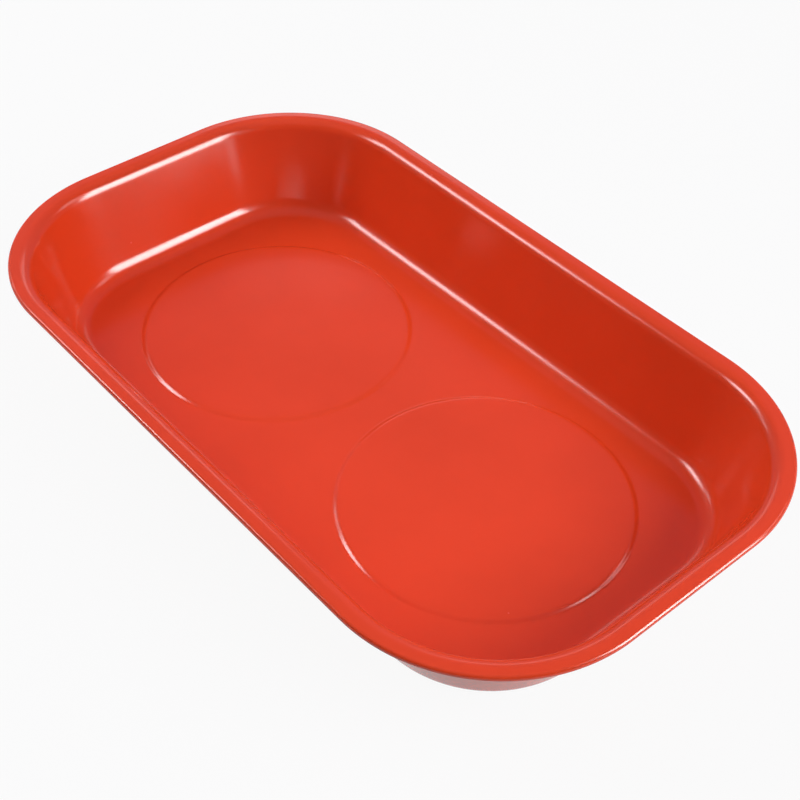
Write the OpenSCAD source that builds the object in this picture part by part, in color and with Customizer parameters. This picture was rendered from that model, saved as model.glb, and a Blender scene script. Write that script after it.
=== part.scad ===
// Magnetic parts tray: a pressed steel pan on two bolted ring-magnet bases with rubber covers.
// Millimetres, +Z up. The origin is on the bench, under the middle of the tray, and X runs along its length.

/* [Tray] */
// Length over the rim
tray_length = 240; // [228:1:320]
// Width over the rim
tray_width = 141.5; // [130:0.5:200]
// Corner radius of the rim, seen from above
corner_radius = 48.5; // [42:0.5:62]
// Depth from the top of the rim to the floor
inside_depth = 29.75; // [22:0.25:44]
// Thickness of the steel sheet
sheet = 0.8; // [0.6:0.05:1.2]
// How much thinner pressing leaves the walls and other slopes than the sheet
thinning = 0.04; // [0.03:0.01:0.1]
// Lean of the walls from upright, in degrees
wall_lean = 20; // [8:0.5:25]
// Inside radius between the floor and the walls
floor_radius = 6.5; // [3:0.25:8]

/* [Rim] */
// Radius over which a wall turns outwards into the rim
rim_radius = 4.75; // [2:0.25:6]
// Flat width of the rim between its two bends
rim_flat = 1.7; // [0.4:0.1:4]
// Inside radius of the curled edge
curl_radius = 0.2; // [0.2:0.1:2]
// How far the edge curls over, in degrees
curl_turn = 165; // [100:5:175]

/* [Pads] */
// Height of the round pads above the floor
pad_rise = 0.7; // [0.6:0.1:2]
// Slope of the step round a pad, in degrees
pad_slope = 29; // [20:1:34]
// Inside radius of the two bends in the step round a pad
step_radius = 1.6; // [0.6:0.1:2.2]
// Room between the rubber cover and the middle of the pad's step
pad_margin = 2.9; // [1:0.1:4]
// Room between the steps of the two pads
pad_gap = 12.6; // [6:0.1:24]

/* [Magnet] */
// Outside diameter of the ring magnet
magnet_d = 70; // [54:1:75]
// Bore of the ring magnet
magnet_bore = 32; // [26:1:40]
// Thickness of the ring magnet
magnet_h = 7; // [6.5:0.5:12]
// Bevel on the edges of the ring magnet
magnet_bevel = 0.5; // [0.2:0.1:1]
// Thickness of the foam gasket over the magnet
gasket_t = 0.5; // [0.3:0.1:1.5]
// How far the gasket stays in from the edges of the magnet
gasket_inset = 1; // [0.5:0.5:3]

/* [Pole plate and bush] */
// How far the pole plate stands out past the magnet
plate_overhang = 2; // [1.2:0.1:4]
// Thickness of the pole plate
plate_t = 1.2; // [0.8:0.1:1.8]
// Diameter of the dish, room for a socket over the nut
dish_d = 16; // [12:0.5:20]
// Room under the stud's tip, above the rubber cover
tip_room = 0.4; // [0.2:0.1:0.8]
// Room for the bush in the magnet's bore and round the dish
bush_fit = 0.2; // [0.1:0.05:0.5]

/* [Fasteners] */
// Diameter of the stud's thread
stud_d = 4; // [3:0.5:5]
// Diameter of the stud's weld flange
flange_d = 5.5; // [5.2:0.1:8]
// Thickness of the stud's weld flange
flange_t = 0.8; // [0.4:0.1:1]
// How far the stud's tip stands out of the nut
stud_tip = 0.6; // [0.4:0.1:1]
// Bevel on the stud's tip
stud_bevel = 0.4; // [0.2:0.1:0.6]
// Width of the nut across its flats
nut_flats = 7; // [6:0.5:9]
// Height of the nut
nut_h = 3.2; // [2.4:0.1:3.8]
// Angle of the bevel on the nut's corners, in degrees
nut_bevel = 30; // [20:1:45]
// Outside diameter of the flat washer
washer_d = 9; // [8:0.5:11]
// Thickness of the flat washer
washer_t = 0.8; // [0.5:0.1:1.2]
// Outside diameter of the lock washer
lock_d = 7; // [6.5:0.1:8.5]
// Thickness of the lock washer
lock_t = 1; // [0.7:0.1:1.4]
// Width of the lock washer's split
lock_split = 0.8; // [0.5:0.1:1.2]
// Slant of the lock washer's split, in degrees
lock_slant = 20; // [0:1:35]
// Room between the thread and the bore of the nut
thread_fit = 0.05; // [0.02:0.01:0.1]
// Room round the stud in the washers, plate and bush
stud_fit = 0.2; // [0.1:0.05:0.4]

/* [Rubber cover] */
// Thickness of the cover's floor
cover_floor = 1.5; // [1:0.1:3]
// Thickness of the cover's wall
cover_wall = 2; // [1.2:0.1:3]
// Room between the cover and the edges of the plate and magnet
cover_fit = 0.3; // [0.1:0.05:0.6]
// Room between the top of the cover and the tray's floor
cover_gap = 0.3; // [0.2:0.1:1]
// Thickness of the lip that holds the pole plate
lip_t = 1.4; // [0.8:0.1:2.5]
// Room between the lip and the pole plate
lip_play = 0.1; // [0.05:0.05:0.3]
// Bevel round the foot of the cover
cover_bevel = 0.8; // [0.3:0.1:1.4]
// Number of grip grooves under the cover
groove_count = 3; // [1:1:4]
// Radius of the innermost grip groove
groove_first = 14; // [8:0.5:16]
// Step from one grip groove to the next
groove_pitch = 7; // [4:0.5:7]
// Width of a grip groove
groove_w = 1.2; // [0.6:0.1:2]
// Depth of a grip groove
groove_depth = 0.4; // [0.2:0.1:0.8]

/* [Hidden] */
$fn = 96;
// Overlap by which a cutter passes the face that it opens
cut = 1;
// Length by which a slope of the sheet runs into the bend at its end, and a pad's foot into the floor
lap = 0.15;

// Heights, from the bench up
plate_z = cover_floor;
magnet_z = plate_z + plate_t;
gasket_z = magnet_z + magnet_h;
pad_under = gasket_z + gasket_t;
floor_under = pad_under - pad_rise;
rim_top = floor_under + sheet + inside_depth;

// The fasteners hang from the dish, which is as deep as they need
tip_z = cover_floor + tip_room;
nut_z = tip_z + stud_tip;
lock_z = nut_z + nut_h;
washer_z = lock_z + lock_t;
dish_under = washer_z + washer_t;
dish_top = dish_under + plate_t;

// Radii of the base, from the magnet out to the pad
magnet_r = magnet_d / 2;
plate_r = magnet_r + plate_overhang;
cover_in = plate_r + cover_fit;
cover_r = cover_in + cover_wall;
cover_top = floor_under - cover_gap;
pad_r = cover_r + pad_margin;
dish_r = dish_d / 2;
thread_r = stud_d / 2;

// Middle of the sheet through the tray's section, measured out from the axis of a corner
core_x = tray_length - 2 * corner_radius;
core_y = tray_width - 2 * corner_radius;
floor_mid = floor_under + sheet / 2;
rim_mid = rim_top - sheet / 2;
curl_bend = curl_radius + sheet / 2;
rim_bend = rim_radius - sheet / 2;
floor_bend = floor_radius + sheet / 2;
rim_out = corner_radius - curl_radius - sheet;
rim_in = rim_out - rim_flat;
wall_top = rim_mid - rim_bend * (1 - sin(wall_lean));
wall_foot = floor_mid + floor_bend * (1 - sin(wall_lean));
wall_run = (wall_top - wall_foot) * tan(wall_lean);
wall_slope = (wall_top - wall_foot) / cos(wall_lean);
wall_foot_r = rim_in - rim_bend * cos(wall_lean) - wall_run;
floor_r = wall_foot_r - floor_bend * cos(wall_lean);

// The step round a pad is two bends of the sheet with a short slope between them
step_bend = step_radius + sheet / 2;
step_slope = (pad_rise - 2 * step_bend * (1 - cos(pad_slope))) / sin(pad_slope);
step_half = step_bend * sin(pad_slope) + step_slope / 2 * cos(pad_slope);
pad_mid = floor_mid + pad_rise;

// Places of the two bases
right_x = pad_r + pad_gap / 2;
left_x = -right_x;

// A bend of the sheet: a band of a circle between two angles
module bend(at, radius, from, to) {
    reach = 3 * (radius + sheet);
    third = (to - from) / 3;
    fan = [for (i = [0 : 3]) reach * [cos(from + i * third), sin(from + i * third)]];
    translate(at) intersection() {
        difference() {
            circle(radius + sheet / 2);
            circle(radius - sheet / 2);
        }
        polygon(concat([[0, 0]], fan));
    }
}

// A straight slope of the sheet between two bends, from a point and at an angle
module slope(at, angle, length) {
    thickness = sheet - thinning;
    translate(at) rotate(angle) translate([-lap, -thickness / 2]) square([length + 2 * lap, thickness]);
}

// The tray's section from the axis of a corner out to the curled edge
module shell_section() {
    translate([0, floor_under]) square([floor_r, sheet]);
    bend([floor_r, floor_mid + floor_bend], floor_bend, 270, 360 - wall_lean);
    slope([wall_foot_r, wall_foot], 90 - wall_lean, wall_slope);
    bend([rim_in, rim_mid - rim_bend], rim_bend, 90, 180 - wall_lean);
    translate([rim_in, rim_top - sheet]) square([rim_flat, sheet]);
    bend([rim_out, rim_mid - curl_bend], curl_bend, 90 - curl_turn, 90);
}

// A straight run of the section, facing +X
module shell_run(length) {
    rotate([90, 0, 0]) linear_extrude(length, center = true) shell_section();
}

module pan() {
    for (side = [0, 1]) {
        turn = 180 * side;
        rotate([0, 0, turn]) translate([core_x / 2, 0, 0]) shell_run(core_y);
        rotate([0, 0, turn + 90]) translate([core_y / 2, 0, 0]) shell_run(core_x);
        rotate([0, 0, turn])
            translate([core_x / 2, core_y / 2, 0])
                rotate_extrude(angle = 90) shell_section();
        rotate([0, 0, turn])
            translate([-core_x / 2, core_y / 2, 0])
                rotate([0, 0, 90]) rotate_extrude(angle = 90) shell_section();
    }
    translate([-core_x / 2, -core_y / 2, floor_under]) cube([core_x, core_y, sheet]);
}

// A raised pad with its rounded step, about its own axis
module pad() {
    rotate_extrude() {
        translate([0, pad_under]) square([pad_r - step_half, sheet]);
        bend([pad_r - step_half, pad_mid - step_bend], step_bend, 90 - pad_slope, 90);
        slope([pad_r - step_slope / 2 * cos(pad_slope), pad_mid - step_bend * (1 - cos(pad_slope))],
            -pad_slope, step_slope);
        bend([pad_r + step_half, floor_mid + step_bend], step_bend, 270 - pad_slope, 270);
        translate([pad_r + step_half, floor_under]) square([lap, sheet]);
    }
}

module tray() {
    color("firebrick") {
        difference() {
            pan();
            for (x = [left_x, right_x])
                translate([x, 0, floor_under - cut]) cylinder(r = pad_r + step_half, h = sheet + 2 * cut);
        }
        for (x = [left_x, right_x]) translate([x, 0, 0]) pad();
    }
}

// A flat ring standing at a height
module ring(z, outer, inner, height) {
    translate([0, 0, z]) difference() {
        cylinder(r = outer, h = height);
        translate([0, 0, -cut]) cylinder(r = inner, h = height + 2 * cut);
    }
}

module weld_stud() {
    color("silver") rotate_extrude() polygon([
        [0, tip_z], [thread_r - stud_bevel, tip_z], [thread_r, tip_z + stud_bevel],
        [thread_r, pad_under - flange_t], [flange_d / 2, pad_under - flange_t],
        [flange_d / 2, pad_under], [0, pad_under]
    ]);
}

module gasket() {
    color("dimgray") ring(gasket_z, magnet_r - gasket_inset, magnet_bore / 2 + gasket_inset, gasket_t);
}

module magnet() {
    color("darkslategray") rotate_extrude() polygon([
        [magnet_bore / 2, magnet_z], [magnet_r - magnet_bevel, magnet_z],
        [magnet_r, magnet_z + magnet_bevel], [magnet_r, gasket_z - magnet_bevel],
        [magnet_r - magnet_bevel, gasket_z], [magnet_bore / 2, gasket_z]
    ]);
}

// The skirt fills the room between the dish and the magnet, and the top is clamped under the pad
module bush() {
    skirt_in = dish_r + plate_t + bush_fit;
    bush_r = magnet_bore / 2 - bush_fit;
    color("ivory") rotate_extrude() polygon([
        [flange_d / 2 + stud_fit, dish_top], [skirt_in, dish_top], [skirt_in, magnet_z + bush_fit],
        [bush_r, magnet_z + bush_fit], [bush_r, pad_under], [flange_d / 2 + stud_fit, pad_under]
    ]);
}

module pole_plate() {
    hole_r = thread_r + stud_fit;
    color("lightsteelblue") rotate_extrude() polygon([
        [hole_r, dish_under], [dish_r, dish_under], [dish_r, plate_z], [plate_r, plate_z],
        [plate_r, magnet_z], [dish_r + plate_t, magnet_z], [dish_r + plate_t, dish_top],
        [hole_r, dish_top]
    ]);
}

module flat_washer() {
    color("gainsboro") ring(washer_z, washer_d / 2, thread_r + stud_fit, washer_t);
}

module lock_washer() {
    color("lightgray") difference() {
        ring(lock_z, lock_d / 2, thread_r + stud_fit, lock_t);
        translate([lock_d / 2, 0, lock_z + lock_t / 2])
            rotate([lock_slant, 0, 0])
                cube([lock_d, lock_split, 2 * lock_d], center = true);
    }
}

module nut() {
    corner_r = nut_flats / 2 / cos(30);
    bevel_h = (corner_r - nut_flats / 2) * tan(nut_bevel);
    color("gainsboro") difference() {
        intersection() {
            translate([0, 0, nut_z]) cylinder(r = corner_r, h = nut_h, $fn = 6);
            rotate_extrude() polygon([
                [0, nut_z], [nut_flats / 2, nut_z], [corner_r, nut_z + bevel_h],
                [corner_r, lock_z], [0, lock_z]
            ]);
        }
        translate([0, 0, nut_z - cut]) cylinder(r = thread_r + thread_fit, h = nut_h + 2 * cut);
    }
}

module cover() {
    lip_z = magnet_z + lip_play;
    lip_in = magnet_r + cover_fit;
    color("black") difference() {
        rotate_extrude() polygon([
            [0, 0], [cover_r - cover_bevel, 0], [cover_r, cover_bevel], [cover_r, cover_top],
            [cover_in, cover_top], [cover_in, lip_z + lip_t], [lip_in, lip_z + lip_t], [lip_in, lip_z],
            [cover_in, lip_z], [cover_in, cover_floor], [0, cover_floor]
        ]);
        for (i = [0 : groove_count - 1]) {
            groove_r = groove_first + i * groove_pitch;
            ring(-cut, groove_r + groove_w / 2, groove_r - groove_w / 2, groove_depth + cut);
        }
    }
}

// Sets a piece of a base under one of the pads
module at(x) {
    translate([x, 0, 0]) children();
}

tray();
at(left_x) weld_stud();  // left_weld_stud
at(left_x) gasket();  // left_gasket
at(left_x) magnet();  // left_magnet
at(left_x) bush();  // left_bush
at(left_x) pole_plate();  // left_pole_plate
at(left_x) flat_washer();  // left_flat_washer
at(left_x) lock_washer();  // left_lock_washer
at(left_x) nut();  // left_nut
at(left_x) cover();  // left_cover
at(right_x) weld_stud();  // right_weld_stud
at(right_x) gasket();  // right_gasket
at(right_x) magnet();  // right_magnet
at(right_x) bush();  // right_bush
at(right_x) pole_plate();  // right_pole_plate
at(right_x) flat_washer();  // right_flat_washer
at(right_x) lock_washer();  // right_lock_washer
at(right_x) nut();  // right_nut
at(right_x) cover();  // right_cover
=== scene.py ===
import math

import bmesh
import bpy
from mathutils import Matrix, Vector


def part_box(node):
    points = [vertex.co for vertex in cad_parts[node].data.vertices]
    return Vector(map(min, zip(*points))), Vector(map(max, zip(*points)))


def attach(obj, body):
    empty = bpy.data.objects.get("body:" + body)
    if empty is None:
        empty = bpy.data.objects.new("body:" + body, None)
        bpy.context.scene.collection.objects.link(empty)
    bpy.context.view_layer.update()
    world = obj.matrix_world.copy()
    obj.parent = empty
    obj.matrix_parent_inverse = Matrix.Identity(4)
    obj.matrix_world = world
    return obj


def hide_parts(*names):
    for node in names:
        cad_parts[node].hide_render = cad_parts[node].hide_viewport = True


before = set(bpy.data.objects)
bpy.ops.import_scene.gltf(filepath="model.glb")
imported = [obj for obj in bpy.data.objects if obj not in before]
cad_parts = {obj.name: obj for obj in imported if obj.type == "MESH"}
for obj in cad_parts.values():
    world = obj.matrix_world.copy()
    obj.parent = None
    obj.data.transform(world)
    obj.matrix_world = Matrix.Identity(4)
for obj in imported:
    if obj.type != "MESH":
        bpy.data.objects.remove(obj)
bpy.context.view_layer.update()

scene = bpy.context.scene
scene.view_settings.view_transform = "Standard"
mm = 0.001
sharpAngle = math.radians(35)       # edges that fold by more than this stay crisp

trayLow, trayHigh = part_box("tray")
coverLow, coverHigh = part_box("right_cover")
rimTop = trayHigh.z
baseX = (coverLow.x + coverHigh.x) / 2
baseXs = {"left": -baseX, "right": baseX}
print("frame loaded, rim at", round(rimTop / mm, 2), "mm")


# Camera, at the viewing angle of the photograph
photoView = {
    "azimuth": 48.522,              # degrees round the tray, 0 looks along +Y
    "elevation": 43.666,
    "roll": 1.244,
    "distance": 377.46 * mm,        # from the aim point, which lies on the plane of the rim
    "aim": (25.06 * mm, -12.16 * mm),
    "lens": 62.506,
    "sensor": 36.0,
    "clipStart": 10 * mm,
}


def makeCamera(view):
    azimuth, elevation, roll = (math.radians(view[key]) for key in ("azimuth", "elevation", "roll"))
    flat = math.cos(elevation)
    back = Vector((math.sin(azimuth) * flat, -math.cos(azimuth) * flat, math.sin(elevation)))
    right = Vector((math.cos(azimuth), math.sin(azimuth), 0))
    up = back.cross(right)
    rolledRight = right * math.cos(roll) + up * math.sin(roll)
    rolledUp = up * math.cos(roll) - right * math.sin(roll)
    data = bpy.data.cameras.new("photoCamera")
    data.lens = view["lens"]
    data.sensor_width = view["sensor"]
    data.clip_start = view["clipStart"]
    camera = bpy.data.objects.new("photoCamera", data)
    scene.collection.objects.link(camera)
    place = Matrix((rolledRight, rolledUp, back)).transposed().to_4x4()
    place.translation = Vector((*view["aim"], rimTop)) + back * view["distance"]
    camera.matrix_world = place
    scene.camera = camera


makeCamera(photoView)
print("camera placed")


# Node helpers, shared by the geometry tree, the materials, the lamps and the room
def addNode(tree, kind, inputs=None, **settings):
    node = tree.nodes.new(kind)
    for name, value in settings.items():
        setattr(node, name, value)
    for key, value in (inputs or {}).items():
        socket = node.inputs[key]
        if isinstance(value, bpy.types.NodeSocket):
            tree.links.new(value, socket)
        else:
            socket.default_value = value
    return node


def result(tree, kind, inputs=None, **settings):
    return addNode(tree, kind, inputs, **settings).outputs[0]


def calculate(tree, operation, *values):
    return result(tree, "ShaderNodeMath", dict(enumerate(values)), operation=operation)


def calculateWhole(tree, operation, *values):
    return result(tree, "FunctionNodeIntegerMath", dict(enumerate(values)), operation=operation)


def along(tree, axis, length):
    return result(tree, "ShaderNodeCombineXYZ", {axis: length})


def easedShare(tree, value, none, full):
    # 0 where the value reaches none, 1 where it reaches full, eased between them
    return result(tree, "ShaderNodeMapRange", {"Value": value, "From Min": none, "From Max": full},
                  interpolation_type="SMOOTHSTEP")


def mixColours(tree, share, first, second):
    # sockets 6 and 7 are the Mix node's two colours, and output 2 is the mixed one
    plain = [c if isinstance(c, bpy.types.NodeSocket) else (*c, 1) for c in (first, second)]
    mix = addNode(tree, "ShaderNodeMix", {0: share, 6: plain[0], 7: plain[1]}, data_type="RGBA")
    return mix.outputs[2]


# Shared effects: a slow drift of a value, a fine grain as a normal, and scattered specks
noiseSpan = (0.3, 0.7)      # nearly all of a noise texture's values lie between these


def newGroup(name, inputs, output, outputKind):
    tree = bpy.data.node_groups.new(name, "ShaderNodeTree")
    for label, value in inputs.items():
        kind = "NodeSocketFloat" if isinstance(value, float) else "NodeSocketVector"
        tree.interface.new_socket(label, in_out="INPUT", socket_type=kind).default_value = value
    tree.interface.new_socket(output, in_out="OUTPUT", socket_type=outputKind)
    return tree, tree.nodes.new("NodeGroupInput").outputs, tree.nodes.new("NodeGroupOutput").inputs


def makeDrift():
    inputs = {"Vector": (0, 0, 0), "Scale": 20.0, "Low": 0.0, "High": 1.0}
    tree, take, give = newGroup("drift", inputs, "Value", "NodeSocketFloat")
    noise = addNode(tree, "ShaderNodeTexNoise",
                    {"Vector": take["Vector"], "Scale": take["Scale"], "Detail": 3.0, "Roughness": 0.5})
    spread = result(tree, "ShaderNodeMapRange",
                    {"Value": noise.outputs["Fac"], "From Min": noiseSpan[0], "From Max": noiseSpan[1],
                     "To Min": take["Low"], "To Max": take["High"]})
    tree.links.new(spread, give["Value"])
    return tree


def makeGrain():
    inputs = {"Vector": (0, 0, 0), "Scale": 500.0, "Depth": 0.02 * mm, "Detail": 2.0}
    tree, take, give = newGroup("grain", inputs, "Normal", "NodeSocketVector")
    noise = addNode(tree, "ShaderNodeTexNoise",
                    {"Vector": take["Vector"], "Scale": take["Scale"], "Detail": take["Detail"]})
    bump = addNode(tree, "ShaderNodeBump",
                   {"Height": noise.outputs["Fac"], "Strength": 1.0, "Distance": take["Depth"]})
    tree.links.new(bump.outputs["Normal"], give["Normal"])
    return tree


def makeSpecks():
    inputs = {"Vector": (0, 0, 0), "Scale": 200.0, "Size": 0.1, "Share": 0.2}
    tree, take, give = newGroup("specks", inputs, "Mask", "NodeSocketFloat")
    cells = addNode(tree, "ShaderNodeTexVoronoi", {"Vector": take["Vector"], "Scale": take["Scale"]})
    dot = calculate(tree, "LESS_THAN", cells.outputs["Distance"], take["Size"])
    cellValue = addNode(tree, "ShaderNodeSeparateColor", {"Color": cells.outputs["Color"]}).outputs["Red"]
    chosen = calculate(tree, "LESS_THAN", cellValue, take["Share"])
    tree.links.new(calculate(tree, "MULTIPLY", dot, chosen), give["Mask"])
    return tree


driftGroup = makeDrift()
grainGroup = makeGrain()
specksGroup = makeSpecks()
print("shared shader groups built")


# Materials: scales are in waves or cells per metre, depths in metres
def startMaterial(name):
    material = bpy.data.materials.new(name)
    material.use_nodes = True
    tree = material.node_tree
    tree.nodes.clear()
    output = tree.nodes.new("ShaderNodeOutputMaterial")
    shader = tree.nodes.new("ShaderNodeBsdfPrincipled")
    tree.links.new(shader.outputs["BSDF"], output.inputs["Surface"])
    where = tree.nodes.new("ShaderNodeTexCoord").outputs["Object"]
    return material, tree, shader, where


def useGroup(tree, group, **inputs):
    return result(tree, "ShaderNodeGroup", {key.capitalize(): value for key, value in inputs.items()},
                  node_tree=group)


def makeFinish(name, look):
    material, tree, shader, where = startMaterial(name)
    drift = useGroup(tree, driftGroup, vector=where, scale=look["driftScale"])
    colour = mixColours(tree, drift, look["dark"], look["light"])
    if "speck" in look:
        specks = useGroup(tree, specksGroup, vector=where, scale=look["speckScale"],
                          size=look["speckSize"], share=look["speckShare"])
        colour = mixColours(tree, specks, colour, look["speck"])
    tree.links.new(colour, shader.inputs["Base Color"])
    rough = useGroup(tree, driftGroup, vector=where, scale=look["roughScale"],
                     low=look["roughLow"], high=look["roughHigh"])
    tree.links.new(rough, shader.inputs["Roughness"])
    skin = useGroup(tree, grainGroup, vector=where, scale=look["grainScale"], depth=look["grainDepth"],
                    detail=look.get("grainDetail", 2.0))
    tree.links.new(skin, shader.inputs["Normal"])
    shader.inputs["Metallic"].default_value = look.get("metallic", 0.0)
    shader.inputs["IOR"].default_value = look.get("index", 1.5)
    return material


redEnamel = {
    "dark": (0.70, 0.052, 0.012),       # where the coat is thinner over the primer
    "light": (0.76, 0.057, 0.014),
    "driftScale": 26.0,
    "speck": (0.80, 0.10, 0.06),        # dust nibs in the paint
    "speckScale": 160.0, "speckSize": 0.05, "speckShare": 0.02,
    "roughLow": 0.14, "roughHigh": 0.19, "roughScale": 60.0,
    "grainScale": 420.0,                # waves of the paint's skin, about 2 mm long
    "grainDepth": 0.012 * mm,
    "grainDetail": 1.0,
    "index": 1.5,                       # refraction of the glossy top
}
blackRubber = {
    "dark": (0.012, 0.012, 0.013), "light": (0.022, 0.022, 0.023), "driftScale": 45.0,
    "speck": (0.10, 0.10, 0.10), "speckScale": 420.0, "speckSize": 0.10, "speckShare": 0.04,
    "roughLow": 0.55, "roughHigh": 0.72, "roughScale": 135.0,
    "grainScale": 2600.0, "grainDepth": 0.03 * mm,
}
zincSteel = {
    "dark": (0.55, 0.56, 0.57), "light": (0.68, 0.69, 0.70), "driftScale": 220.0,
    "roughLow": 0.22, "roughHigh": 0.38, "roughScale": 660.0,
    "grainScale": 1500.0, "grainDepth": 0.006 * mm, "metallic": 1.0,
}
plateSteel = {
    "dark": (0.50, 0.51, 0.53), "light": (0.62, 0.63, 0.65), "driftScale": 60.0,
    "speck": (0.30, 0.29, 0.28), "speckScale": 260.0, "speckSize": 0.08, "speckShare": 0.05,
    "roughLow": 0.30, "roughHigh": 0.45, "roughScale": 180.0,
    "grainScale": 900.0, "grainDepth": 0.008 * mm, "metallic": 1.0,
}
springSteel = {
    "dark": (0.20, 0.20, 0.22), "light": (0.30, 0.30, 0.33), "driftScale": 300.0,
    "roughLow": 0.30, "roughHigh": 0.42, "roughScale": 900.0,
    "grainScale": 1800.0, "grainDepth": 0.006 * mm, "metallic": 1.0,
}
ferrite = {
    "dark": (0.030, 0.030, 0.032), "light": (0.050, 0.050, 0.053), "driftScale": 70.0,
    "speck": (0.11, 0.11, 0.12), "speckScale": 600.0, "speckSize": 0.16, "speckShare": 0.10,
    "roughLow": 0.48, "roughHigh": 0.66, "roughScale": 210.0,
    "grainScale": 1700.0, "grainDepth": 0.04 * mm,
}
nylon = {
    "dark": (0.72, 0.69, 0.60), "light": (0.80, 0.77, 0.69), "driftScale": 80.0,
    "roughLow": 0.38, "roughHigh": 0.50, "roughScale": 240.0,
    "grainScale": 900.0, "grainDepth": 0.01 * mm,
}
foam = {
    "dark": (0.085, 0.085, 0.088), "light": (0.125, 0.125, 0.13), "driftScale": 120.0,
    "speck": (0.03, 0.03, 0.032), "speckScale": 1300.0, "speckSize": 0.30, "speckShare": 0.6,
    "roughLow": 0.85, "roughHigh": 0.95, "roughScale": 360.0,
    "grainScale": 1300.0, "grainDepth": 0.25 * mm,
}
materials = {}
for slot, name, look in (
    ("red_enamel", "redEnamel", redEnamel), ("black_rubber", "blackRubber", blackRubber),
    ("zinc_steel", "zincSteel", zincSteel), ("plate_steel", "plateSteel", plateSteel),
    ("spring_steel", "springSteel", springSteel), ("ferrite", "ferrite", ferrite),
    ("nylon", "nylon", nylon), ("foam", "foam", foam),
):
    materials[slot] = makeFinish(name, look)
print("materials built:", len(materials))


# Outline helpers
def arc(centre, radius, start, end, steps):
    points = []
    for i in range(steps + 1):
        angle = math.radians(start + (end - start) * i / steps)
        points.append((centre[0] + radius * math.cos(angle), centre[1] + radius * math.sin(angle)))
    return points


def straight(first, last, margin, steps):
    # points between two ends, with one close to each end so that flat runs stay flat when shaded
    a, b = Vector(first), Vector(last)
    near = margin / (b - a).length
    shares = [near + (1 - 2 * near) * i / steps for i in range(steps + 1)]
    return [tuple(a.lerp(b, share)) for share in shares]


# The tray: one sheet, swept round the edge of the floor and filled, with two raised pads
pan = {
    "cornerRadius": 48.5 * mm,      # of the rim, seen from above
    "sheet": 0.8 * mm,
    "wallLean": 20.0,               # degrees from upright
    "floorBend": 6.5 * mm,          # inside radius between the floor and the walls
    "rimBend": 4.75 * mm,           # radius over which a wall turns out into the rim
    "rimFlat": 1.7 * mm,
    "curlRadius": 1 * mm,           # outside
    "curlTurn": 165.0,              # degrees
    "flatMargin": 0.8 * mm,         # narrow flat band beside each bend
    "rimMargin": 0.3 * mm,          # the same on the rim
    "weldDistance": 0.005 * mm,     # joins the floor, the walls and the pads
    "cornerSteps": 40,
    "straightCuts": 15,
    "floorBendSteps": 14,
    "wallSteps": 6,
    "rimBendSteps": 14,
    "rimSteps": 2,
    "curlSteps": 22,
}
pads = {
    "radius": 42.2 * mm,            # to the middle of the step round the pad
    "rise": 0.7 * mm,
    "stepSlope": 29.0,              # degrees
    "stepBend": 1.6 * mm,           # inside radius of the two bends in the step
    "topBendSteps": 7,
    "footBendSteps": 6,
    "steps": 144,                   # round the pad
}


def panSection(sizes, floorTop):
    lean = sizes["wallLean"]
    tilt = math.radians(lean)
    floorBend, rimBend, curl = sizes["floorBend"], sizes["rimBend"], sizes["curlRadius"]
    curlX = sizes["cornerRadius"] - curl
    rimX = curlX - sizes["rimFlat"]
    rimZ = rimTop - rimBend
    bendZ = floorTop + floorBend
    wallTop = rimZ + rimBend * math.sin(tilt)
    wallFoot = bendZ - floorBend * math.sin(tilt)
    wallTopX = rimX - rimBend * math.cos(tilt)
    wallFootX = wallTopX - (wallTop - wallFoot) * math.tan(tilt)
    floorEdge = wallFootX - floorBend * math.cos(tilt)
    pathRadius = floorEdge - sizes["flatMargin"]
    points = [(pathRadius, floorTop)]
    points += arc((floorEdge, bendZ), floorBend, 270, 360 - lean, sizes["floorBendSteps"])
    points += straight((wallFootX, wallFoot), (wallTopX, wallTop), sizes["flatMargin"], sizes["wallSteps"])
    points += arc((rimX, rimZ), rimBend, 180 - lean, 90, sizes["rimBendSteps"])
    points += straight((rimX, rimTop), (curlX, rimTop), sizes["rimMargin"], sizes["rimSteps"])
    points += arc((curlX, rimTop - curl), curl, 90, 90 - sizes["curlTurn"], sizes["curlSteps"])
    return pathRadius, [(x - pathRadius, z - floorTop) for x, z in points]


def padSection(sizes, sheet, margin):
    slope = math.radians(sizes["stepSlope"])
    tight, wide = sizes["stepBend"], sizes["stepBend"] + sheet
    middle = sizes["stepBend"] + sheet / 2
    run = (sizes["rise"] - 2 * middle * (1 - math.cos(slope))) / math.sin(slope)
    half = middle * math.sin(slope) + run / 2 * math.cos(slope)
    foot, top = sizes["radius"] + half, sizes["radius"] - half
    points = [(top - margin, sizes["rise"])]
    points += arc((top, sizes["rise"] - wide), wide, 90, 90 - sizes["stepSlope"], sizes["topBendSteps"])
    points += arc((foot, tight), tight, 270 - sizes["stepSlope"], 270, sizes["footBendSteps"])
    points += [(foot + margin, 0)]
    return foot + margin, top - margin, [(x - top + margin, z) for x, z in points]


def sectionCurve(name, points):
    curve = bpy.data.curves.new(name, "CURVE")
    curve.dimensions = "3D"
    line = curve.splines.new("POLY")
    line.points.add(len(points) - 1)
    for spot, (x, z) in zip(line.points, points):
        spot.co = (x, -z, 0, 1)      # a sweep hangs its section's Y downwards
    holder = bpy.data.objects.new(name, curve)
    scene.collection.objects.link(holder)
    return holder


panInputs = {
    "Float": ("Floor Length", "Floor Width", "Edge Radius", "Floor Height", "Weld Distance",
              "Pad Place", "Pad Foot", "Pad Top", "Pad Rise"),
    "Int": ("Corner Steps", "Straight Cuts", "Pad Steps"),
    "Object": ("Pan Section", "Pad Section"),
    "Material": ("Paint",),
}


def joinUp(tree, *shapes):
    node = tree.nodes.new("GeometryNodeJoinGeometry")
    for shape in reversed(shapes):
        tree.links.new(shape, node.inputs[0])
    return node.outputs[0]


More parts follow.
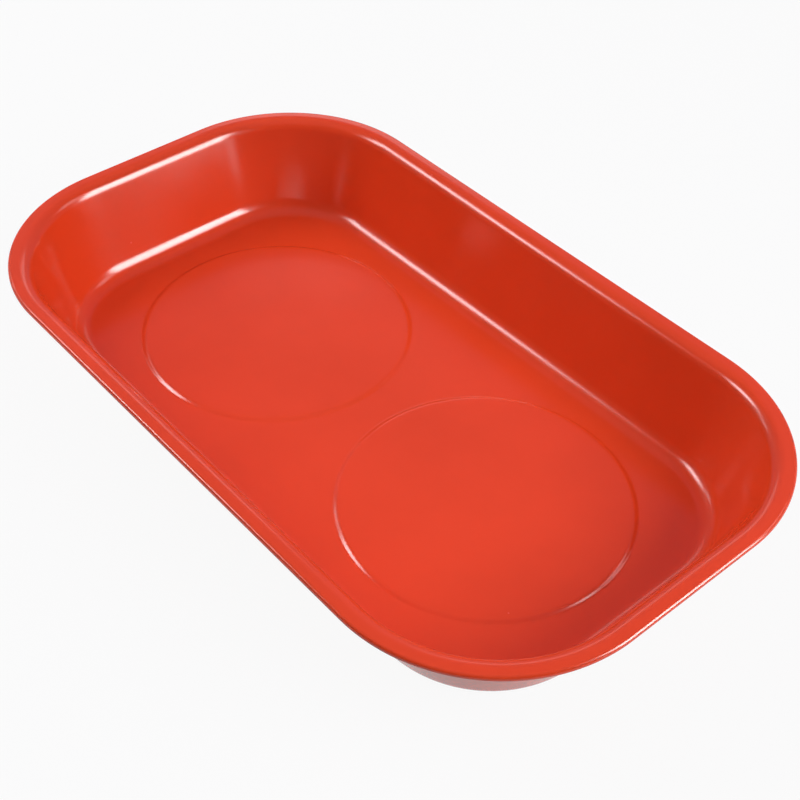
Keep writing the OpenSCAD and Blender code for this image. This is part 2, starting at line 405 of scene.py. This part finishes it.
def sweepSection(tree, path, sectionObject):
    upright = result(tree, "GeometryNodeSetCurveNormal", {"Curve": path}, mode="Z_UP")
    section = addNode(tree, "GeometryNodeObjectInfo", {"Object": sectionObject}).outputs["Geometry"]
    return result(tree, "GeometryNodeCurveToMesh", {"Curve": upright, "Profile Curve": section})


def makePanTree():
    tree = bpy.data.node_groups.new("pressedPan", "GeometryNodeTree")
    for kind, labels in panInputs.items():
        for label in labels:
            tree.interface.new_socket(label, in_out="INPUT", socket_type="NodeSocket" + kind)
    tree.interface.new_socket("Geometry", in_out="OUTPUT", socket_type="NodeSocketGeometry")
    take = tree.nodes.new("NodeGroupInput").outputs
    give = tree.nodes.new("NodeGroupOutput").inputs

    # the path is the edge of the flat floor, with cuts along its four straight sides
    box = result(tree, "GeometryNodeCurvePrimitiveQuadrilateral",
                 {"Width": take["Floor Length"], "Height": take["Floor Width"]})
    rounded = result(tree, "GeometryNodeFilletCurve",
                     {"Curve": box, "Count": take["Corner Steps"], "Radius": take["Edge Radius"]},
                     mode="POLY")
    index = result(tree, "GeometryNodeInputIndex")
    cornerPoints = calculateWhole(tree, "ADD", take["Corner Steps"], 1)
    inCorner = calculateWhole(tree, "MODULO", index, cornerPoints)
    lastInCorner = result(tree, "FunctionNodeCompare", {2: inCorner, 3: take["Corner Steps"]},
                          data_type="INT", operation="EQUAL")
    cuts = calculateWhole(tree, "MULTIPLY", lastInCorner, take["Straight Cuts"])
    path = result(tree, "GeometryNodeSubdivideCurve", {"Curve": rounded, "Cuts": cuts})
    walls = sweepSection(tree, path, take["Pan Section"])

    # two pads, each a disc with a swept step round it
    topEdge = result(tree, "GeometryNodeCurvePrimitiveCircle",
                     {"Resolution": take["Pad Steps"], "Radius": take["Pad Top"]})
    footEdge = result(tree, "GeometryNodeCurvePrimitiveCircle",
                      {"Resolution": take["Pad Steps"], "Radius": take["Pad Foot"]})
    step = sweepSection(tree, topEdge, take["Pad Section"])
    disc = result(tree, "GeometryNodeFillCurve", {"Curve": topEdge}, mode="TRIANGLES")
    raised = result(tree, "GeometryNodeTransform",
                    {"Geometry": disc, "Translation": along(tree, "Z", take["Pad Rise"])})
    pad = joinUp(tree, step, raised)
    leftPlace = calculate(tree, "MULTIPLY", take["Pad Place"], -1.0)
    span = calculate(tree, "MULTIPLY", take["Pad Place"], 2.0)
    spots = result(tree, "GeometryNodeMeshLine",
                   {"Count": 2, "Start Location": along(tree, "X", leftPlace),
                    "Offset": along(tree, "X", span)})
    bothPads = result(tree, "GeometryNodeInstanceOnPoints", {"Points": spots, "Instance": pad})
    bothFeet = result(tree, "GeometryNodeInstanceOnPoints", {"Points": spots, "Instance": footEdge})

    # the floor is filled between the path and the feet of the pads
    holes = result(tree, "GeometryNodeRealizeInstances", {"Geometry": bothFeet})
    floor = result(tree, "GeometryNodeFillCurve", {"Curve": joinUp(tree, path, holes)}, mode="TRIANGLES")

    whole = joinUp(tree, walls, floor, bothPads)
    real = result(tree, "GeometryNodeRealizeInstances", {"Geometry": whole})
    welded = result(tree, "GeometryNodeMergeByDistance",
                    {"Geometry": real, "Distance": take["Weld Distance"]})
    lifted = result(tree, "GeometryNodeTransform",
                    {"Geometry": welded, "Translation": along(tree, "Z", take["Floor Height"])})
    smooth = result(tree, "GeometryNodeSetShadeSmooth", {"Geometry": lifted})
    painted = result(tree, "GeometryNodeSetMaterial", {"Geometry": smooth, "Material": take["Paint"]})
    tree.links.new(painted, give["Geometry"])
    return tree


def runTree(name, tree, values, finishers):
    holder = bpy.data.objects.new(name, bpy.data.meshes.new(name))
    scene.collection.objects.link(holder)
    modifier = holder.modifiers.new("shape", "NODES")
    modifier.node_group = tree
    sockets = {s.name: s.identifier for s in tree.interface.items_tree if s.in_out == "INPUT"}
    for label, value in values.items():
        modifier[sockets[label]] = value
    for kind, settings in finishers:
        extra = holder.modifiers.new(kind.lower(), kind)
        for key, value in settings.items():
            setattr(extra, key, value)
    depsgraph = bpy.context.evaluated_depsgraph_get()
    mesh = bpy.data.meshes.new_from_object(holder.evaluated_get(depsgraph), depsgraph=depsgraph)
    holder.modifiers.clear()
    holder.data = mesh
    mesh.name = name
    return holder


def makeTray():
    floorTop = trayLow.z + pan["sheet"]
    pathRadius, panPoints = panSection(pan, floorTop)
    padFoot, padTop, padPoints = padSection(pads, pan["sheet"], pan["flatMargin"])
    panCurve = sectionCurve("panSection", panPoints)
    padCurve = sectionCurve("padSection", padPoints)
    straightX = trayHigh.x - trayLow.x - 2 * pan["cornerRadius"]
    straightY = trayHigh.y - trayLow.y - 2 * pan["cornerRadius"]
    thicken = ("SOLIDIFY", {"thickness": pan["sheet"], "offset": -1, "use_even_offset": True})
    sheet = runTree("enamelTray", makePanTree(), {
        "Floor Length": straightX + 2 * pathRadius,
        "Floor Width": straightY + 2 * pathRadius,
        "Edge Radius": pathRadius,
        "Floor Height": floorTop,
        "Weld Distance": pan["weldDistance"],
        "Corner Steps": pan["cornerSteps"],
        "Straight Cuts": pan["straightCuts"],
        "Pan Section": panCurve,
        "Pad Place": baseX,
        "Pad Foot": padFoot,
        "Pad Top": padTop,
        "Pad Rise": pads["rise"],
        "Pad Steps": pads["steps"],
        "Pad Section": padCurve,
        "Paint": materials["red_enamel"],
    }, [thicken])
    for helper in (panCurve, padCurve):
        bpy.data.objects.remove(helper)
    sheet.data.set_sharp_from_angle(angle=sharpAngle)
    return sheet


tray = makeTray()
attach(tray, "root")
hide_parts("tray")
print("tray swept:", len(tray.data.polygons), "faces")


# The rubber covers: turned from a rounded outline
cover = {
    "floor": 1.5 * mm,
    "wall": 2 * mm,
    "lipReach": 2 * mm,
    "lipFoot": 2.8 * mm,
    "lipHeight": 1.4 * mm,
    "footRound": 1.0 * mm,
    "topRound": 0.7 * mm,
    "edgeRound": 0.25 * mm,
    "grooves": (14 * mm, 21 * mm, 28 * mm),
    "grooveWidth": 1.2 * mm,
    "grooveDepth": 0.4 * mm,
    "grooveRound": 0.125 * mm,
    "flatMargin": 0.3 * mm,         # narrow flat band beside each rounded edge
    "longFlat": 1.2 * mm,           # flats that are longer than this get such bands
    "roundSteps": 5,
    "steps": 128,                   # round the cover
}


def roundCorner(before, corner, after, radius, steps):
    a, c, b = Vector(before), Vector(corner), Vector(after)
    into, out = (a - c).normalized(), (b - c).normalized()
    half = into.angle(out) / 2
    reach = radius / math.tan(half)
    start, end = c + into * reach, c + out * reach
    centre = c + (into + out).normalized() * (radius / math.sin(half))
    first = start - centre
    turn = first.angle_signed(end - centre)
    points = []
    for i in range(steps + 1):
        angle = -turn * i / steps
        spun = Vector((first.x * math.cos(angle) - first.y * math.sin(angle),
                       first.x * math.sin(angle) + first.y * math.cos(angle)))
        points.append(tuple(centre + spun))
    return points


def coverOutline(sizes, outer, height):
    # corners of the section as radius, height and rounding, from the middle of the foot to the middle inside
    inner = outer - sizes["wall"]
    lip = inner - sizes["lipReach"]
    lipFoot, lipTop = sizes["lipFoot"], sizes["lipFoot"] + sizes["lipHeight"]
    edge, top = sizes["edgeRound"], sizes["topRound"]
    deep, fine = sizes["grooveDepth"], sizes["grooveRound"]
    corners = [(0, 0, 0)]
    for middle in sizes["grooves"]:
        near, far = middle - sizes["grooveWidth"] / 2, middle + sizes["grooveWidth"] / 2
        corners += [(near, 0, fine), (near, deep, fine), (far, deep, fine), (far, 0, fine)]
    corners += [(outer, 0, sizes["footRound"]), (outer, height, top), (inner, height, top),
                (inner, lipTop, edge), (lip, lipTop, edge), (lip, lipFoot, edge), (inner, lipFoot, edge),
                (inner, sizes["floor"], edge), (0, sizes["floor"], 0)]
    runs = [[corners[0][:2]]]
    for before, corner, after in zip(corners, corners[1:], corners[2:]):
        runs.append(roundCorner(before[:2], corner[:2], after[:2], corner[2], sizes["roundSteps"]))
    runs.append([corners[-1][:2]])
    points = []
    for run, following in zip(runs, runs[1:]):
        points += run
        if math.dist(run[-1], following[0]) > sizes["longFlat"]:
            points += straight(run[-1], following[0], sizes["flatMargin"], 1)
    return points + runs[-1]


def turned(name, outline, centreX, steps, material):
    shape = bmesh.new()
    angles = [2 * math.pi * i / steps for i in range(steps)]
    rings = []
    for radius, z in outline:
        if radius == 0:
            spots = [(centreX, 0, z)]
        else:
            spots = [(centreX + radius * math.cos(a), radius * math.sin(a), z) for a in angles]
        rings.append([shape.verts.new(spot) for spot in spots])
    for low, high in zip(rings, rings[1:]):
        for i in range(steps):
            j = (i + 1) % steps
            corners = [low[i % len(low)], low[j % len(low)], high[j % len(high)], high[i % len(high)]]
            shape.faces.new(list(dict.fromkeys(corners)))
    bmesh.ops.recalc_face_normals(shape, faces=shape.faces)
    mesh = bpy.data.meshes.new(name)
    shape.to_mesh(mesh)
    shape.free()
    mesh.materials.append(material)
    mesh.shade_smooth()
    mesh.set_sharp_from_angle(angle=sharpAngle)
    piece = bpy.data.objects.new(name, mesh)
    scene.collection.objects.link(piece)
    return piece


for side, x in baseXs.items():
    outline = coverOutline(cover, (coverHigh.x - coverLow.x) / 2, coverHigh.z)
    boot = turned(side + "RubberCover", outline, x, cover["steps"], materials["black_rubber"])
    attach(boot, "root")
    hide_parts(side + "_cover")
print("rubber covers turned")


# The pieces inside the bases stay as built, with their own finishes
insideFinish = {
    "weld_stud": "zinc_steel",
    "gasket": "foam",
    "magnet": "ferrite",
    "bush": "nylon",
    "pole_plate": "plate_steel",
    "flat_washer": "zinc_steel",
    "lock_washer": "spring_steel",
    "nut": "zinc_steel",
}
for side in baseXs:
    for part, finish in insideFinish.items():
        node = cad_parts[side + "_" + part]
        node.data.materials.clear()
        node.data.materials.append(materials[finish])
print("inside pieces finished:", len(baseXs) * len(insideFinish))


# Studio: a pale floor, softboxes that show in the gloss alone, fills that stay out of it, and a room round it
studio = {
    "floorRadius": 6.0,
    "floorSegments": 96,
    "floorDrop": 0.05 * mm,         # keeps the floor off the plane of the covers' feet
    "floorColour": (0.46, 0.46, 0.47),      # throws little light up under the rim
    "floorTint": 0.02,              # how much paler the floor drifts
    "tintScale": 3.0,
    "floorRoughness": 0.8,
    "floorSpecular": 0.1,
    "floorGlow": 0.93,              # share of the floor that shows as plain white
    "mirrorGlow": 1.0,              # the same where the gloss mirrors it
    "roomGlow": 0.05,               # share of the room that the gloss mirrors as plain white
    "dark": (0.03, 0.03, 0.045),    # the room before the tray
    "back": (0.23, 0.16, 0.32),     # the room behind the tray
    "pale": (0.27, 0.21, 0.33),     # the backdrop low behind the tray
    "ceiling": (0.24, 0.21, 0.28),
    "backHeading": 125,             # degrees from +X towards +Y
    "backEdge": (0.2, 0.75),        # cosines to that heading over which the room turns from dark to back
    "paleTop": (34, 40),            # degrees above the floor over which the backdrop ends
    "ceilingEdge": (54, 68),        # and over which the ceiling starts
    "lampDistance": 0.9,            # metres from the middle of the tray
}
# heading in degrees from +X towards +Y, wide, low and high in degrees seen from the tray,
# edge is the share of the box over which it darkens, and brightness is 1 for white
softboxes = {
    "rightStrip": {"heading": 30, "wide": 28, "low": 2, "high": 54,
                   "edge": 0.35, "brightness": 22.0, "use": "gloss"},
    "rightLowStrip": {"heading": 14, "wide": 10, "low": 3.5, "high": 8,
                      "edge": 0.15, "brightness": 5.0, "use": "gloss"},
    "leftStrip": {"heading": 214, "wide": 36, "low": 31, "high": 50,
                  "edge": 0.4, "brightness": 15.0, "use": "gloss"},
    "leftLowStrip": {"heading": 193, "wide": 14, "low": 19, "high": 33,
                     "edge": 0.3, "brightness": 3.0, "use": "gloss"},
    "rightFarStrip": {"heading": 62, "wide": 24, "low": 28, "high": 50,
                      "edge": 0.3, "brightness": 3.0, "use": "gloss"},
    "backStrip": {"heading": 139, "wide": 26, "low": 22, "high": 33,
                  "edge": 0.2, "brightness": 1.3, "use": "gloss"},
    "rightFill": {"heading": 24, "wide": 44, "low": 20, "high": 48,
                  "edge": 0.05, "brightness": 7.6, "use": "fill"},
    "leftFill": {"heading": 203, "wide": 46, "low": 18, "high": 50,
                 "edge": 0.05, "brightness": 5.6, "use": "fill"},
    "topFill": {"heading": 0, "wide": 60, "low": 60, "high": 120,
                "edge": 0.05, "brightness": 0.25, "use": "fill"},
}


def wayTo(heading, height=0.0):
    turn, lift = math.radians(heading), math.radians(height)
    return Vector((math.cos(turn) * math.cos(lift), math.sin(turn) * math.cos(lift), math.sin(lift)))


def makeSoftbox(name, box, distance):
    away = wayTo(box["heading"], (box["low"] + box["high"]) / 2)
    data = bpy.data.lights.new(name, "AREA")
    data.shape = "RECTANGLE"
    data.size = 2 * distance * math.tan(math.radians(box["wide"] / 2))
    data.size_y = 2 * distance * math.tan(math.radians((box["high"] - box["low"]) / 2))
    data.energy = box["brightness"] * math.pi * data.size * data.size_y
    data.use_nodes = True
    tree = data.node_tree
    tree.nodes.clear()
    # the cloth of the box is darker towards its edges
    place = tree.nodes.new("ShaderNodeNewGeometry").outputs["Parametric"]
    shares = []
    for across in addNode(tree, "ShaderNodeSeparateXYZ", {0: place}).outputs[:2]:
        offMiddle = calculate(tree, "ABSOLUTE", calculate(tree, "SUBTRACT", across, 0.5))
        shares.append(easedShare(tree, offMiddle, 0.5, 0.5 - box["edge"]))
    glow = result(tree, "ShaderNodeEmission", {"Strength": calculate(tree, "MULTIPLY", *shares)})
    output = tree.nodes.new("ShaderNodeOutputLight")
    tree.links.new(glow, output.inputs["Surface"])
    lamp = bpy.data.objects.new(name, data)
    lamp.location = Vector((0, 0, rimTop)) + away * distance
    lamp.rotation_euler = away.to_track_quat("Z", "Y").to_euler()
    lamp.visible_glossy = box["use"] == "gloss"
    lamp.visible_diffuse = box["use"] == "fill"
    scene.collection.objects.link(lamp)


def paleShare(tree, seenShare, mirroredShare):
    # how much of a surface shows as plain white, to the camera and in the gloss
    path = tree.nodes.new("ShaderNodeLightPath").outputs
    seen = calculate(tree, "MULTIPLY", path["Is Camera Ray"], seenShare)
    mirrored = calculate(tree, "MAXIMUM", path["Is Glossy Ray"], path["Is Transmission Ray"])
    return calculate(tree, "MULTIPLY_ADD", mirrored, mirroredShare, seen)


def heightsOf(angles):
    return [math.sin(math.radians(angle)) for angle in angles]


def makeWorld():
    world = bpy.data.worlds.new("studioRoom")
    scene.world = world
    world.use_nodes = True
    tree = world.node_tree
    tree.nodes.clear()
    where = tree.nodes.new("ShaderNodeTexCoord").outputs["Generated"]
    height = addNode(tree, "ShaderNodeSeparateXYZ", {0: where}).outputs["Z"]
    facing = addNode(tree, "ShaderNodeVectorMath", {0: where, 1: wayTo(studio["backHeading"])},
                     operation="DOT_PRODUCT").outputs["Value"]
    paleFull, paleGone = heightsOf(studio["paleTop"])
    behind = mixColours(tree, easedShare(tree, height, paleGone, paleFull), studio["back"], studio["pale"])
    room = mixColours(tree, easedShare(tree, facing, *studio["backEdge"]), studio["dark"], behind)
    above = easedShare(tree, height, *heightsOf(studio["ceilingEdge"]))
    shade = mixColours(tree, above, room, studio["ceiling"])
    seen = mixColours(tree, paleShare(tree, 1.0, studio["roomGlow"]), shade, (1.0, 1.0, 1.0))
    glow = result(tree, "ShaderNodeBackground", {"Color": seen, "Strength": 1.0})
    output = tree.nodes.new("ShaderNodeOutputWorld")
    tree.links.new(glow, output.inputs["Surface"])


def makePaper():
    material, tree, shader, where = startMaterial("palePaper")
    tint = useGroup(tree, driftGroup, vector=where, scale=studio["tintScale"])
    colour = studio["floorColour"]
    paler = tuple(c + studio["floorTint"] for c in colour)
    tree.links.new(mixColours(tree, tint, colour, paler), shader.inputs["Base Color"])
    shader.inputs["Roughness"].default_value = studio["floorRoughness"]
    shader.inputs["Specular IOR Level"].default_value = studio["floorSpecular"]
    white = paleShare(tree, studio["floorGlow"], studio["mirrorGlow"])
    glow = result(tree, "ShaderNodeEmission", {"Color": (1, 1, 1, 1), "Strength": 1.0})
    seen = result(tree, "ShaderNodeMixShader", {0: white, 1: shader.outputs[0], 2: glow})
    # from below the floor is clear, so that the feet show
    below = tree.nodes.new("ShaderNodeNewGeometry").outputs["Backfacing"]
    clear = result(tree, "ShaderNodeBsdfTransparent")
    oneSided = result(tree, "ShaderNodeMixShader", {0: below, 1: seen, 2: clear})
    output = next(node for node in tree.nodes if node.bl_idname == "ShaderNodeOutputMaterial")
    tree.links.new(oneSided, output.inputs["Surface"])
    return material


def makeFloor():
    mesh = bpy.data.meshes.new("studioFloor")
    shape = bmesh.new()
    below = Matrix.Translation((0, 0, -studio["floorDrop"]))
    bmesh.ops.create_circle(shape, cap_ends=True, radius=studio["floorRadius"],
                            segments=studio["floorSegments"], matrix=below)
    shape.to_mesh(mesh)
    shape.free()
    mesh.materials.append(makePaper())
    floor = bpy.data.objects.new("studioFloor", mesh)
    scene.collection.objects.link(floor)


for name, box in softboxes.items():
    makeSoftbox(name, box, studio["lampDistance"])
makeWorld()
makeFloor()
print("studio set")
